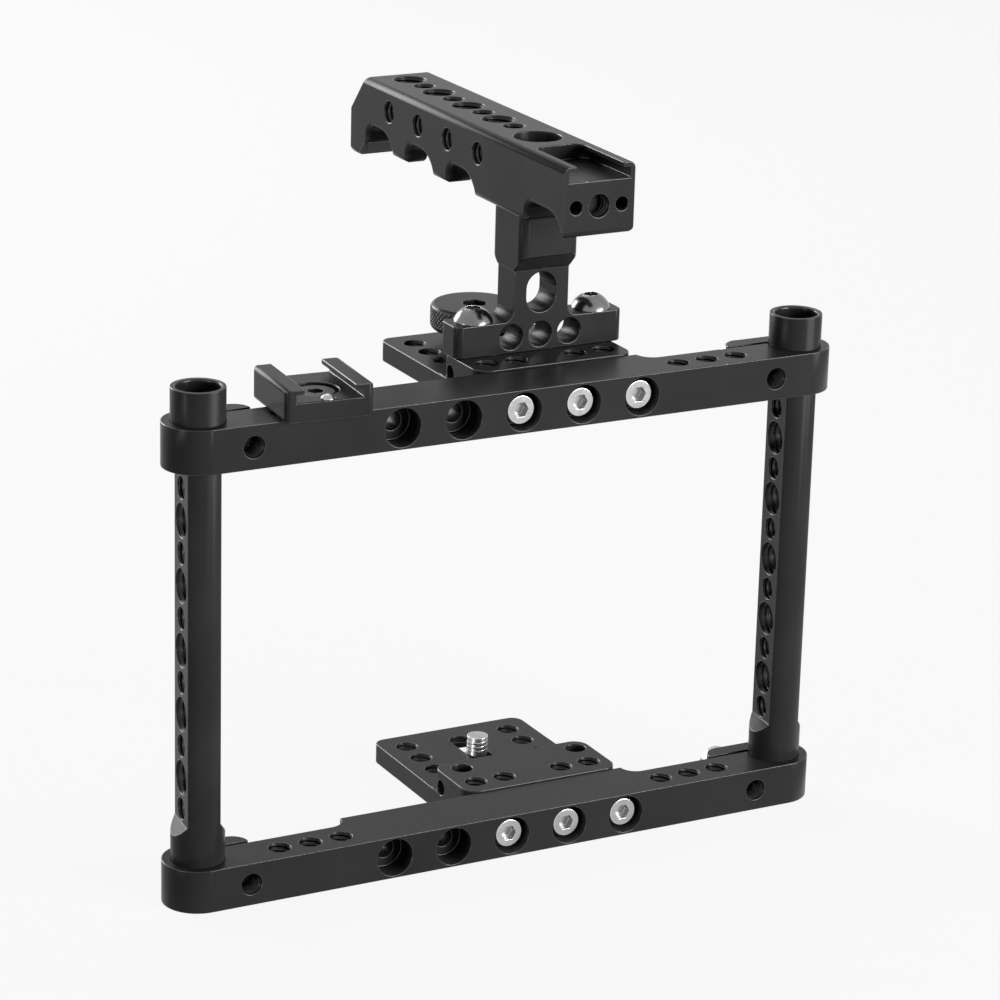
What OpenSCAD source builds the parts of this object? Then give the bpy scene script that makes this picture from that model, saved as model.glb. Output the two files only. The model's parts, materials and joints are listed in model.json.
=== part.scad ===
// Camera cage: two clamping bars on two rods, with a plate behind each bar,
// a riser and a top handle, an accessory shoe, a thumb screw and a base screw.
// X runs along the bars, Y from the front to the back, Z up from the resting face.

/* [Frame] */
// Distance between the axes of the two rods
rod_spacing = 185; // [180:1:240]
// Clear height between the bottom bar and the top bar
bay_h = 113; // [100:1:180]
// Diameter of a rod
rod_d = 15; // [14:0.5:16]
// How far the rods stand above the top bar
rod_proud = 9.4; // [6:0.2:30]
// Height of a bar
bar_h = 12.5; // [12:0.5:16]
// Distance from the rod axes to the front of a bar, also its boss radius
bar_front = 10; // [9.5:0.5:11]
// Distance from the rod axes to the back of a bar's narrow part
bar_back = 3.7; // [3.4:0.1:4.2]
// Distance from the rod axes to the back of a bar's wide part
bar_seat = 8.4; // [8:0.1:9.5]
// Half width of the wide part at its back
bar_seat_half = 45.4; // [44.8:0.1:46]

/* [Rod holes] */
// Distance between the holes across a rod
rod_hole_pitch = 9.2; // [9.2:0.1:14]
// Height of the lowest hole above the bottom bar
rod_hole_start = 15.1; // [15:0.1:18]
// Least height left above the highest hole
rod_hole_rest = 5.4; // [5.4:0.1:9]
// Width across the two flats of a rod
rod_flat_w = 9.5; // [8.5:0.1:12]
// Height of the round stretch left above the bottom bar
rod_flat_start = 11.5; // [8:0.5:11.5]
// Depth of the threaded bore in each rod end
rod_bore_depth = 20; // [10:0.5:20]
// Diameter of the threaded bore in each rod end
rod_bore_d = 12; // [8:0.5:12]
// Width of the countersink at each rod end
rod_bore_rim = 0.4; // [0.2:0.1:0.6]
// Angle by which both rods are turned in their clamps, clockwise from above
rod_turn = 6; // [0:0.5:8]

/* [Clamps] */
// Distance from a rod axis to its clamp screw
clamp_offset = 11.85; // [11.5:0.05:12.5]
// Distance from the right rod's axis to the nose of its clamp jaw
jaw_reach_right = 19; // [18.5:0.5:20]
// Distance from the left rod's axis to the nose of its clamp jaw
jaw_reach_left = 17.4; // [17.4:0.2:20]
// Radius of the jaw's nose
jaw_nose_r = 5; // [4:0.5:5]
// Width of the clamp slit
slit_w = 1.3; // [1:0.1:1.5]
// Length of a clamp screw under its head
clamp_screw_l = 11.4; // [9:0.2:15]
// Depth of the flat under a clamp screw's head
clamp_seat_depth = 1.6; // [1.4:0.1:2]

/* [Threads and clearances] */
// Diameter of the small accessory thread, a quarter inch
small_thread_d = 6.35; // [6.35]
// Diameter of the large accessory thread, three eighths of an inch
large_thread_d = 9.525; // [9.525]
// Diameter of the plate screws' thread
plate_thread_d = 5; // [5]
// Diameter of the clamp and riser screws' thread
clamp_thread_d = 6; // [6]
// Diameter of the handle bolt's thread
bolt_thread_d = 8; // [8]
// Radial clearance of a screw in its thread
thread_gap = 0.06; // [0.02:0.01:0.1]
// Radial clearance of a rod in a bar
rod_gap = 0.05; // [0.02:0.01:0.1]
// Radial clearance of a screw in a plain hole
hole_gap = 0.2; // [0.15:0.05:0.4]
// Gap between parts that slide on each other
slide_gap = 0.05; // [0.03:0.01:0.1]

/* [Bar holes] */
// Distance between the screw holes in the front of a bar
bar_screw_pitch = 18.5; // [18:0.1:18.6]
// Diameter of the counterbores in the front of a bar
bar_cbore_d = 10.9; // [10:0.1:11.4]
// Depth of the counterbores in the front of a bar
bar_cbore_depth = 7; // [6:0.2:8]
// Distance between the threaded holes in the top of a bar
bar_hole_pitch = 9.4; // [9:0.1:9.6]
// Distance from the right rod to the nearest threaded hole
bar_hole_right = 21.5; // [20.8:0.1:22]
// Distance from the left rod to the nearest threaded hole
bar_hole_left = 23.2; // [22:0.1:23.6]

/* [Plates] */
// Middle of the plates along the bars
plate_x = 20; // [20:0.1:20.4]
// Width of a plate
plate_w = 49.4; // [49:0.1:50.4]
// Distance from the rod axes to the back edge of a plate
plate_back = 70.8; // [69.6:0.2:76]
// Distance from the rod axes to the back of a plate's tall block
block_back = 31.2; // [31:0.1:31.6]
// How far the block stands above its bar
block_proud = 0.5; // [0.2:0.1:1]
// Thickness of a plate's tail
tail_t = 6; // [5.6:0.1:7]
// Radius of the block's corners
block_r = 4.4; // [3:0.1:4.6]
// Radius of the tail's back corners
tail_r = 3.6; // [2:0.1:5]
// Distance from the plate's middle to its side rows of holes
tail_hole_x = 17.1; // [16.5:0.1:18]
// Distance from the rod axes to the first hole of a side row
tail_hole_y = 43.7; // [43:0.1:45]
// Distance between the holes of a side row
tail_hole_pitch = 9.5; // [9:0.1:9.8]
// Distance from the rod axes to the row of holes in the block
block_hole_y = 15.4; // [15:0.1:15.8]
// Distance between the holes in the block
block_hole_pitch = 9.3; // [9.2:0.1:9.5]
// Distance from the rod axes to the front end of the slot
slot_front = 43.5; // [43.5:0.1:46]
// Distance from the rod axes to the back end of the slot
slot_end = 60.5; // [59.8:0.1:60.8]
// Depth of the wider recess under the slot
recess_depth = 3.6; // [3.4:0.1:3.8]

/* [Riser] */
// Middle of the riser and the handle along the bars
riser_x = 21.2; // [20.9:0.1:21.5]
// Distance from the rod axes to the front of the riser's foot
riser_front = 21; // [20.8:0.1:21.2]
// Thickness of the riser's foot and web
riser_t = 10; // [9.6:0.1:10.2]
// Width of the foot
foot_w = 53; // [52.6:0.1:54]
// Height of the foot
foot_h = 9.3; // [9.2:0.1:10]
// Distance between the two foot screws
foot_screw_pitch = 37.6; // [37.4:0.1:38]
// Width of the web
web_w = 17.4; // [16.8:0.1:17.8]
// Height of the web above the foot
web_h = 14.7; // [14.6:0.1:18]
// Width of the head under the handle
head_w = 18.2; // [17.8:0.1:18.8]
// Height of the head above the slope
head_h = 11.9; // [11.4:0.1:13]
// Distance from the foot's front to the head's front
head_front = 4.6; // [4:0.1:5]
// Distance from the foot's back to the head's back
head_back = 3.2; // [2.6:0.1:3.6]

/* [Handle] */
// Width of the handle
grip_w = 22; // [21.6:0.1:24]
// Height of the handle above its underside
grip_h = 20; // [19.6:0.1:20.6]
// Distance from the rod axes to the back of the handle
grip_back = 122; // [121:0.5:124]
// Length of one finger groove
groove_pitch = 26; // [25.8:0.1:26.2]
// Depth of the finger grooves
groove_depth = 5.7; // [5.4:0.1:6]
// Radius of the handle's long edges
grip_edge = 1.9; // [1:0.1:2.2]
// Distance from the rod axes to the handle bolt
bolt_y = 25.8; // [25.6:0.1:26]
// Distance between the holes in the top of the handle
grip_hole_pitch = 9.3; // [9.2:0.05:9.35]
// Distance from the rod axes to the first hole in the top of the handle
grip_hole_y = 39.8; // [39.6:0.1:40.2]

/* [Shoes] */
// Width inside an accessory shoe
shoe_slot_w = 19; // [18.7:0.1:19.2]
// Width between the lips of an accessory shoe
shoe_mouth_w = 14.4; // [13.8:0.1:14.8]
// Height inside an accessory shoe
shoe_slot_h = 2.2; // [2:0.1:2.4]
// Width of the separate shoe
shoe_w = 25.2; // [24.8:0.1:25.6]
// Distance from the rod axes to the front of the separate shoe
shoe_front = 14.2; // [13.8:0.1:15]
// Length of the separate shoe
shoe_l = 25.4; // [24.6:0.1:26]
// Thickness of the separate shoe's floor
shoe_floor = 5.5; // [5.2:0.1:6]
// Angle by which the shoe is turned about its screw, clockwise from above
shoe_turn = 4; // [0:0.5:5]

/* [Thumb screw] */
// Diameter of the knurled knob
knob_d = 25; // [23:0.5:25]
// Height of the knurled knob
knob_h = 7.4; // [7:0.1:7.6]
// Distance from the rod axes to the thumb screw
knob_y = 58.7; // [58.4:0.1:59.2]
// Height of the collar under the knob
collar_h = 3.8; // [3.6:0.1:4.4]
// How far the thumb screw reaches below the plate
stud_reach = 9; // [7:0.5:12]
// Distance from the rod axes to the base screw
base_screw_y = 50; // [46:0.5:56]
// How far the base screw stands above the plate
base_screw_reach = 5.5; // [4:0.1:6]

/* [Hidden] */

$fn = 64;
// How far a cutter runs past the faces that it cuts
over = 1;
// A hexagon's corner radius over its width across the flats
hex_share = 1 / sqrt(3);

rod_x = rod_spacing / 2;
rod_l = bar_h + bay_h + bar_h + rod_proud;
top_z = bar_h + bay_h;
rod_bore = rod_d + 2 * rod_gap;
rod_hole_count = floor((bay_h - rod_hole_start - rod_hole_rest) / rod_hole_pitch) + 1;
rod_flat_end = 0.5;
rod_flat_lean = 1.35;

jaw_y = bar_back + slit_w;
clamp_x = rod_x - clamp_offset;
clamp_seat_y = bar_front - clamp_seat_depth;
clamp_head_d = 10;
clamp_head_h = 6;
clamp_hex = 5;
clamp_hex_depth = 3;
clamp_seat_d = 10.6;

// Fillet that leads from the wide part of a bar to its narrow part
seat_fillet = bar_seat - bar_back;
bar_hole_y = (bar_back - bar_front) / 2;
bar_screw_count = 3;
plate_screw_tip = 8;
plate_screw_head_d = 8.7;
plate_screw_head_h = 5;
plate_screw_hex = 4;
plate_screw_hex_depth = 2.5;
plate_screw_chamfer = 0.4;

block_h = bar_h + block_proud;
block_hole_depth = block_h - bar_h / 2 - plate_thread_d / 2 - thread_gap - over / 4;
slot_w = small_thread_d + 2 * hole_gap;
washer_w = 14;
washer_t = 1;
washer_r = 2.4;
recess_w = washer_w + 2 * hole_gap;
recess_r = washer_r - hole_gap;
wall_hole_d = 4.5;
wall_hole_depth = 3.5;
wall_hole_y = 25.8;
wall_hole_drop = 5;

foot_z = top_z + block_h;
foot_round = 2.25;
foot_hole_d = 7.2;
foot_hole_pitch = 9.2;
foot_hole_z = 4.8;
web_fillet = 3;
window_w = 9.2;
window_h = 11.5;
window_z = 17;
head_round = 2.33;
head_z = foot_z + foot_h + web_h + head_front;
riser_mid_y = riser_front + riser_t / 2;
riser_screw_y = 26;
riser_screw_l = 19;
button_d = 11.3;
button_h = 4.4;
button_hex = 4;
button_hex_depth = 2;

grip_z = head_z + head_h;
grip_top = grip_z + grip_h;
grip_front = -bar_front;
grip_slope_y = 9.5;
grip_slope_z = 11;
toe_drop = 4.5;
toe_w = 4.8;
toe_lean = 1.6;
nose_round = 1.8;
groove_r = 8.6;
groove_small_r = 3;
groove_back_x = 4.6;
groove_y = 52.9;
groove_count = 3;
front_groove_y = 4;
front_groove_run = 8.4;
lobe_r = 3;
lobe_small_r = 2;
bolt_head_d = 13;
bolt_head_h = 8;
bolt_cbore_d = 13.6;
bolt_seat = 6;
bolt_l = 20;
bolt_hex = 6;
bolt_hex_depth = 4;
grip_hole_count = 8;
side_hole_drop = 7.2;
side_hole_lag = 1.1;
front_hole_drop = 11.5;
front_hole_x = 7.1;
front_hole_depth = 4.2;
dowel_hole_d = 3.8;
dowel_hole_depth = 8;
grip_slot_depth = 4.4;
grip_slot_end = 14.6;
grip_slot_r = 3;

shoe_x = bar_hole_left + bar_hole_pitch - rod_x;
shoe_lip_t = 1.5;
shoe_h = shoe_floor + shoe_slot_h + shoe_lip_t;
shoe_r = 1.3;
shoe_plan_r = 1.6;
shoe_recess_d = 12.8;
shoe_recess_depth = 3.9;
shoe_head_d = 11;
shoe_head_h = 3.4;
shoe_hex = 4;
shoe_hex_depth = 2;
shoe_screw_tip = 8;
stop_pin_d = 3.9;
stop_pin_rise = 1.2;
stop_pin_depth = 3;
stop_pin_inset = 2.1;

tail_z = top_z + tail_t;
knob_z = tail_z + slide_gap + collar_h + slide_gap;
knob_edge = 0.6;
knob_hex = 6.5;
knob_hex_depth = 3.6;
stud_d = small_thread_d - 2 * thread_gap;
stud_hold = 2;
collar_d = 13;
clip_t = 0.8;
clip_d = 11;
base_head_d = 12.6;
base_head_h = 2;
coin_w = 1.8;
coin_depth = 1;
ledge_h = recess_depth - slide_gap - washer_t - slide_gap;

black = [0.1, 0.1, 0.105];
dark = [0.16, 0.16, 0.17];
steel = [0.75, 0.75, 0.77];

// Runs a shape made along Z towards the back
module backward() {
    rotate([-90, 0, 0]) children();
}

// Runs a shape made along Z towards the right
module rightward() {
    rotate([0, 90, 0]) children();
}

// Stands an outline drawn with Z as its second axis, and runs it back over a length
module front_profile(length) {
    rotate([90, 0, 0])
        translate([0, 0, -length])
            linear_extrude(length) children();
}

// Stands an outline drawn with Y and Z, and runs it to the right over a length
module side_profile(length) {
    rotate([90, 0, 90]) linear_extrude(length) children();
}

// Rectangle with round corners about its middle
module round_rect(w, l, r) {
    square([w - 2 * r, l], center = true);
    square([w, l - 2 * r], center = true);
    for (sx = [-1, 1], sy = [-1, 1])
        translate([sx * (w / 2 - r), sy * (l / 2 - r)]) circle(r = r);
}

// Hexagonal socket that opens upwards at z = 0
module hex_socket(across, depth) {
    translate([0, 0, -depth])
        cylinder(r = across * hex_share, h = depth + over, $fn = 6);
}

// Screw with a round head above z = 0 and a plain shank below it
module cap_screw(d, l, head_d, head_h, hex, hex_depth, chamfer) {
    r = head_d / 2;
    difference() {
        rotate_extrude()
            polygon([[0, -l], [d / 2 - chamfer, -l], [d / 2, chamfer - l], [d / 2, 0],
                [r, 0], [r, head_h - chamfer], [r - chamfer, head_h], [0, head_h]]);
        translate([0, 0, head_h]) hex_socket(hex, hex_depth);
    }
}

// Domed head above z = 0, round over its whole width
module dome(d, h) {
    r = (d * d / 4 + h * h) / (2 * h);
    intersection() {
        translate([0, 0, h - r]) sphere(r = r);
        cylinder(d = d + over, h = h);
    }
}

// One bar seen from above, without its holes
module bar_outline() {
    wide = bar_seat_half + seat_fillet;
    translate([-rod_x, -bar_front]) square([rod_spacing, bar_front + bar_back]);
    difference() {
        translate([-wide, 0]) square([2 * wide, bar_seat]);
        for (s = [-1, 1])
            translate([s * wide, bar_seat]) circle(r = seat_fillet);
    }
    for (s = [-1, 1]) {
        translate([s * rod_x, 0]) circle(r = bar_front);
        mirror([s > 0 ? 0 : 1, 0]) jaw_outline(s > 0 ? jaw_reach_right : jaw_reach_left);
    }
}

// Clamp jaw on the right, behind its slit
module jaw_outline(reach) {
    nose = rod_x - reach + jaw_nose_r;
    intersection() {
        union() {
            translate([nose, 0]) square([rod_x - nose, bar_front]);
            translate([nose, bar_front - jaw_nose_r]) circle(r = jaw_nose_r);
        }
        translate([rod_x - reach, bar_back]) square([reach, bar_front - bar_back]);
    }
}

// Slit from the jaw's nose to the rod's bore, on the right
module slit() {
    translate([rod_x - jaw_reach_right - over, bar_back, -over])
        cube([jaw_reach_right + over, slit_w, bar_h + 2 * over]);
}

// Bores for the clamp screw on the right
module clamp_bores() {
    translate([clamp_x, -bar_front - over, bar_h / 2]) backward()
        cylinder(d = clamp_thread_d + 2 * thread_gap, h = bar_front + jaw_y + over);
    translate([clamp_x, bar_back + slit_w / 2, bar_h / 2]) backward()
        cylinder(d = clamp_thread_d + 2 * hole_gap, h = bar_front);
    translate([clamp_x, clamp_seat_y, bar_h / 2]) backward()
        cylinder(d = clamp_seat_d, h = clamp_seat_depth + over);
}

// One bar with its underside at z = 0
module bar() {
    difference() {
        linear_extrude(bar_h) bar_outline();
        for (s = [0, 1]) mirror([s, 0, 0]) {
            translate([rod_x, 0, -over]) cylinder(d = rod_bore, h = bar_h + 2 * over);
            slit();
            clamp_bores();
        }
        for (i = [1 - bar_screw_count : bar_screw_count - 1]) translate([i * bar_screw_pitch, -bar_front, bar_h / 2]) {
            translate([0, -over, 0]) backward()
                cylinder(d = bar_cbore_d, h = bar_cbore_depth + over);
            backward() cylinder(d = plate_thread_d + 2 * hole_gap, h = bar_front + bar_seat + over);
        }
        for (i = [0 : bar_screw_count - 1]) {
            translate([rod_x - bar_hole_right - i * bar_hole_pitch, bar_hole_y, -over])
                cylinder(d = small_thread_d, h = bar_h + 2 * over);
            translate([bar_hole_left - rod_x + i * bar_hole_pitch, bar_hole_y, -over])
                cylinder(d = small_thread_d, h = bar_h + 2 * over);
        }
    }
}

// One rod about its own axis, standing on z = 0
module rod() {
    difference() {
        cylinder(d = rod_d, h = rod_l);
        for (s = [0, 1])
            mirror([s, 0, 0]) translate([0, -rod_d, 0]) front_profile(2 * rod_d) flat_cut();
        for (i = [0 : rod_hole_count - 1])
            translate([-rod_d, 0, bar_h + rod_hole_start + i * rod_hole_pitch]) rightward()
                cylinder(d = i % 2 == 0 ? small_thread_d : large_thread_d, h = 2 * rod_d);
        rod_end_bore();
        translate([0, 0, rod_l]) mirror([0, 0, 1]) rod_end_bore();
    }
}

// Section of the cut that makes a rod's flat: its lower end slopes down outwards
module flat_cut() {
    half = rod_flat_w / 2;
    low = bar_h + rod_flat_start;
    high = top_z - rod_flat_end;
    polygon([[half, low], [half, high], [rod_d, high],
        [rod_d, low - rod_flat_lean * (rod_d - half)]]);
}

// Threaded bore with a countersunk rim, from z = 0 upwards
module rod_end_bore() {
    translate([0, 0, -over]) cylinder(d = rod_bore_d, h = rod_bore_depth + over);
    translate([0, 0, -over])
        cylinder(r1 = rod_bore_d / 2 + rod_bore_rim + over, r2 = rod_bore_d / 2,
            h = rod_bore_rim + over);
}

// Slot for a screw along Y, from z = 0 through the tail, with its recess below
module screw_slot() {
    mid_y = (slot_front + slot_end) / 2;
    run = slot_end - slot_front;
    translate([0, mid_y, -over]) linear_extrude(tail_t + 2 * over) {
        square([slot_w, run], center = true);
        for (s = [-1, 1]) translate([0, s * run / 2]) circle(d = slot_w);
    }
    translate([0, mid_y, -over]) linear_extrude(recess_depth + over)
        round_rect(recess_w, run + recess_w, recess_r);
}

// One plate about its own middle, with its underside at z = 0
module plate() {
    block_l = block_back - bar_seat;
    tail_l = plate_back - bar_seat;
    difference() {
        union() {
            translate([0, bar_seat + block_l / 2, 0]) linear_extrude(block_h)
                round_rect(plate_w, block_l, block_r);
            translate([0, bar_seat + tail_l / 2, 0]) linear_extrude(tail_t) {
                round_rect(plate_w, tail_l, tail_r > block_r ? tail_r : block_r);
                translate([0, block_r / 2]) round_rect(plate_w, tail_l - block_r, tail_r);
            }
        }
        screw_slot();
        for (s = [-1, 1], i = [0, 1, 2])
            translate([s * tail_hole_x, tail_hole_y + i * tail_hole_pitch, -over])
                cylinder(d = small_thread_d, h = tail_t + 2 * over);
        for (s = [-1, 1]) {
            translate([s * block_hole_pitch, block_hole_y, -over])
                cylinder(d = small_thread_d, h = block_h + 2 * over);
            translate([2 * s * block_hole_pitch, block_hole_y, block_h - block_hole_depth])
                cylinder(d = small_thread_d, h = block_hole_depth + over);
            translate([riser_x - plate_x + s * foot_screw_pitch / 2, riser_screw_y, -over])
                cylinder(d = clamp_thread_d + 2 * thread_gap, h = block_h + 2 * over);
        }
        for (i = [0 : bar_screw_count - 1])
            translate([i * bar_screw_pitch - plate_x, bar_seat - over, bar_h / 2]) backward()
                cylinder(d = plate_thread_d + 2 * thread_gap, h = plate_screw_tip + 2 * over);
        translate([-plate_w / 2 - over, wall_hole_y, block_h - wall_hole_drop]) rightward()
            cylinder(d = wall_hole_d, h = wall_hole_depth + over);
    }
}

// The three screws that hold a plate, from the front of a bar whose underside is at z = 0
module plate_screws() {
    seat = bar_cbore_depth - bar_front;
    for (i = [0 : bar_screw_count - 1]) translate([i * bar_screw_pitch, seat, bar_h / 2])
        mirror([0, 1, 0]) backward()
            cap_screw(plate_thread_d, bar_seat - seat + plate_screw_tip, plate_screw_head_d,
                plate_screw_head_h, plate_screw_hex, plate_screw_hex_depth, plate_screw_chamfer);
}

// Clamp screw on the right, in a bar whose underside is at z = 0
module clamp_screw() {
    translate([clamp_x, clamp_seat_y, bar_h / 2]) backward()
        cap_screw(clamp_thread_d, clamp_screw_l, clamp_head_d, clamp_head_h, clamp_hex,
            clamp_hex_depth, plate_screw_chamfer);
}

module bottom_bar() {
    color(black) bar();
}

module top_bar() {
    color(black) translate([0, 0, top_z]) bar();
}

module left_rod() {
    color(black) translate([-rod_x, 0, 0]) rotate(-rod_turn) rod();
}

module right_rod() {
    color(black) translate([rod_x, 0, 0]) rotate(-rod_turn) rod();
}

module bottom_plate() {
    color(black) translate([plate_x, 0, 0]) plate();
}

module top_plate() {
    color(black) translate([plate_x, 0, top_z]) plate();
}

module bottom_plate_screws() {
    color(steel) plate_screws();
}

module top_plate_screws() {
    color(steel) translate([0, 0, top_z]) plate_screws();
}

module bottom_left_clamp_screw() {
    color(steel) mirror([1, 0, 0]) clamp_screw();
}

module bottom_right_clamp_screw() {
    color(steel) clamp_screw();
}

module top_left_clamp_screw() {
    color(steel) translate([0, 0, top_z]) mirror([1, 0, 0]) clamp_screw();
}

module top_right_clamp_screw() {
    color(steel) translate([0, 0, top_z]) clamp_screw();
}

// Turns the shoe's pieces about its screw, and sets them on the top bar
module shoe_place() {
    translate([shoe_x, bar_hole_y, top_z + bar_h]) rotate(-shoe_turn)
        translate([0, -bar_hole_y, 0]) children();
}

// Accessory shoe bolted to the left of the top bar
module cold_shoe() {
    mid_y = shoe_l / 2 - shoe_front;
    color(black) shoe_place() difference() {
        intersection() {
            translate([0, -shoe_front, 0]) front_profile(shoe_l) shoe_outline();
            translate([0, mid_y, 0]) linear_extrude(shoe_h)
                round_rect(shoe_w, shoe_l, shoe_plan_r);
        }
        translate([0, bar_hole_y, shoe_floor - shoe_recess_depth])
            cylinder(d = shoe_recess_d, h = shoe_recess_depth + over);
        translate([0, bar_hole_y, -over])
            cylinder(d = small_thread_d + 2 * hole_gap, h = shoe_floor);
        translate([0, stop_pin_inset - shoe_front, shoe_floor - stop_pin_depth])
            cylinder(d = stop_pin_d, h = stop_pin_depth + over);
    }
}

// The shoe seen from the front: a floor, two walls and two lips
module shoe_outline() {
    difference() {
        translate([0, shoe_h / 2]) round_rect(shoe_w, shoe_h, shoe_r);
        translate([-shoe_slot_w / 2, shoe_floor]) square([shoe_slot_w, shoe_slot_h]);
        translate([-shoe_mouth_w / 2, shoe_floor]) square([shoe_mouth_w, shoe_h]);
    }
}

module shoe_screw() {
    seat = shoe_floor - shoe_recess_depth;
    color(dark) shoe_place() translate([0, bar_hole_y, seat])
        cap_screw(stud_d, seat + shoe_screw_tip, shoe_head_d, shoe_head_h, shoe_hex,
            shoe_hex_depth, plate_screw_chamfer);
}

module shoe_stop_pin() {
    color(steel) shoe_place() translate([0, stop_pin_inset - shoe_front, shoe_floor]) {
        translate([0, 0, -stop_pin_depth]) cylinder(d = stop_pin_d, h = stop_pin_depth);
        dome(stop_pin_d, stop_pin_rise);
    }
}

// The web and its fillets seen from the front, from the foot's top upwards
module web_outline() {
    half = web_w / 2;
    translate([-half, -over]) square([web_w, web_h + 2 * over]);
    for (s = [-1, 1]) difference() {
        translate([s * (half + web_fillet / 2), web_fillet / 2])
            square(web_fillet, center = true);
        translate([s * (half + web_fillet), web_fillet]) circle(r = web_fillet);
    }
}

// The head seen from the side, with its slopes, from the web's top upwards
module head_outline() {
    back = riser_t + head_back;
    polygon([[0, 0], [-head_front, head_front], [-head_front, head_front + head_h],
        [back, head_front + head_h], [back, head_back], [riser_t, 0]]);
}

// Foot, web and head in one piece, between the top plate and the handle
module riser() {
    head_l = head_front + riser_t + head_back;
    head_mid = riser_front - head_front + head_l / 2;
    color(black) translate([riser_x, 0, foot_z]) difference() {
        union() {
            translate([0, riser_mid_y, 0]) linear_extrude(foot_h)
                round_rect(foot_w, riser_t, foot_round);
            translate([0, riser_front, foot_h]) front_profile(riser_t) web_outline();
            intersection() {
                translate([-head_w / 2, riser_front, foot_h + web_h])
                    side_profile(head_w) head_outline();
                translate([0, head_mid, foot_h]) linear_extrude(web_h + head_front + head_h)
                    round_rect(head_w, head_l, head_round);
            }
        }
        for (i = [-1, 0, 1])
            translate([i * foot_hole_pitch, riser_front - over, foot_hole_z]) backward()
                cylinder(d = foot_hole_d, h = riser_t + 2 * over);
        translate([0, riser_front - over, window_z]) front_profile(riser_t + 2 * over)
            window_outline();
        for (s = [-1, 1])
            translate([s * foot_screw_pitch / 2, riser_screw_y, -over])
                cylinder(d = clamp_thread_d + 2 * hole_gap, h = foot_h + 2 * over);
        translate([0, bolt_y, grip_z - foot_z - bolt_l + bolt_seat - over])
            cylinder(d = bolt_thread_d + 2 * thread_gap, h = bolt_l);
    }
}

// The obround window through the web
module window_outline() {
    rise = (window_h - window_w) / 2;
    square([window_w, 2 * rise], center = true);
    for (s = [-1, 1]) translate([0, s * rise]) circle(d = window_w);
}

module riser_screws() {
    color(steel) for (s = [-1, 1])
        translate([riser_x + s * foot_screw_pitch / 2, riser_screw_y, foot_z + foot_h])
            difference() {
                union() {
                    dome(button_d, button_h);
                    translate([0, 0, -riser_screw_l])
                        cylinder(d = clamp_thread_d, h = riser_screw_l);
                }
                translate([0, 0, button_h]) hex_socket(button_hex, button_hex_depth);
            }
}

// Side of the handle, with its sloping back and the toe below it
module grip_outline() {
    difference() {
        polygon([[grip_front, 0], [grip_front, grip_h],
            [grip_back - grip_slope_y, grip_h], [grip_back, grip_h - grip_slope_z],
            [grip_back, toe_lean - toe_drop], [grip_back - toe_lean, -toe_drop],
            [grip_back - toe_w, -toe_drop], [grip_back - toe_w - toe_drop, 0]]);
        nose_cut();
    }
}

// Corner taken off below the front face, which leaves a round edge
module nose_cut() {
    difference() {
        translate([grip_front - over, -over]) square(nose_round + over);
        translate([grip_front + nose_round, nose_round]) circle(r = nose_round);
    }
}

// Cutter across the handle with flared ends, which leaves round edges on a groove
module flared_disc(r) {
    half = grip_w / 2;
    flat = half - grip_edge;
    rotate([0, 90, 0]) rotate_extrude() difference() {
        translate([0, -half - over]) square([r + grip_edge, 2 * (half + over)]);
        translate([r, -flat]) square([grip_edge + over, 2 * flat]);
        for (s = [-1, 1]) translate([r + grip_edge, s * flat]) circle(r = grip_edge);
    }
}

// Flat stretch between the two round ends of a groove, with the same round edges
module flared_bar(length) {
    half = grip_w / 2;
    flat = half - grip_edge;
    front_profile(length) difference() {
        translate([-half - over, -groove_depth]) square([2 * (half + over), groove_depth + grip_edge]);
        translate([-flat, 0]) square([2 * flat, grip_edge + over]);
        for (s = [-1, 1]) translate([s * flat, grip_edge]) circle(r = grip_edge);
    }
}

// Groove whose highest stretch runs back from y = 0, with its top at z = 0
module groove(run) {
    translate([0, 0, -groove_r]) flared_disc(groove_r);
    translate([0, run, -groove_small_r]) flared_disc(groove_small_r);
    flared_bar(run);
    translate([-grip_w / 2 - over, 0, -groove_depth]) side_profile(grip_w + 2 * over) {
        lobe_rounding(run);
        translate([0, -over])
            square([run + groove_small_r, groove_depth - groove_small_r + over]);
    }
}

// Cutters that round the handle's lobes beside a groove, seen from the side
module lobe_rounding(run) {
    rise = groove_r - groove_depth;
    reach = sqrt(pow(groove_r + lobe_r, 2) - pow(rise + lobe_r, 2));
    share = groove_r / (groove_r + lobe_r);
    back = run + groove_small_r;
    difference() {
        polygon([[-reach, -over], [-reach, lobe_r],
            [-reach * share, (rise + lobe_r) * share - rise], [-reach * share, -over]]);
        translate([-reach, lobe_r]) circle(r = lobe_r);
    }
    difference() {
        translate([back - over, -over]) square([lobe_small_r + over, lobe_small_r + over]);
        translate([back + lobe_small_r, lobe_small_r]) circle(r = lobe_small_r);
    }
}

// Long edge of the underside on the right, as the cutter that rounds it
module under_edge() {
    translate([grip_w / 2 - grip_edge, grip_front - over, 0])
        front_profile(grip_back - grip_front - toe_w - toe_drop) difference() {
            translate([0, -over]) square([grip_edge + over, grip_edge + over]);
            translate([0, grip_edge]) circle(r = grip_edge);
            translate([-over, grip_edge]) square([grip_edge + over, 2 * over]);
        }
}

// Accessory shoe cut into the front of the handle's top, from z = 0 down
module grip_slot() {
    run = grip_slot_end - grip_front;
    translate([0, grip_front + run / 2, -shoe_lip_t - over]) linear_extrude(shoe_lip_t + 2 * over)
        slot_plan(shoe_mouth_w, run);
    translate([0, grip_front + run / 2, -grip_slot_depth])
        linear_extrude(grip_slot_depth - shoe_lip_t) slot_plan(shoe_slot_w, run);
}

// Slot seen from above: open in front, with round corners at the back
module slot_plan(w, run) {
    translate([0, -run / 4 - over / 2]) square([w, run / 2 + over], center = true);
    round_rect(w, run, grip_slot_r);
}

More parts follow.
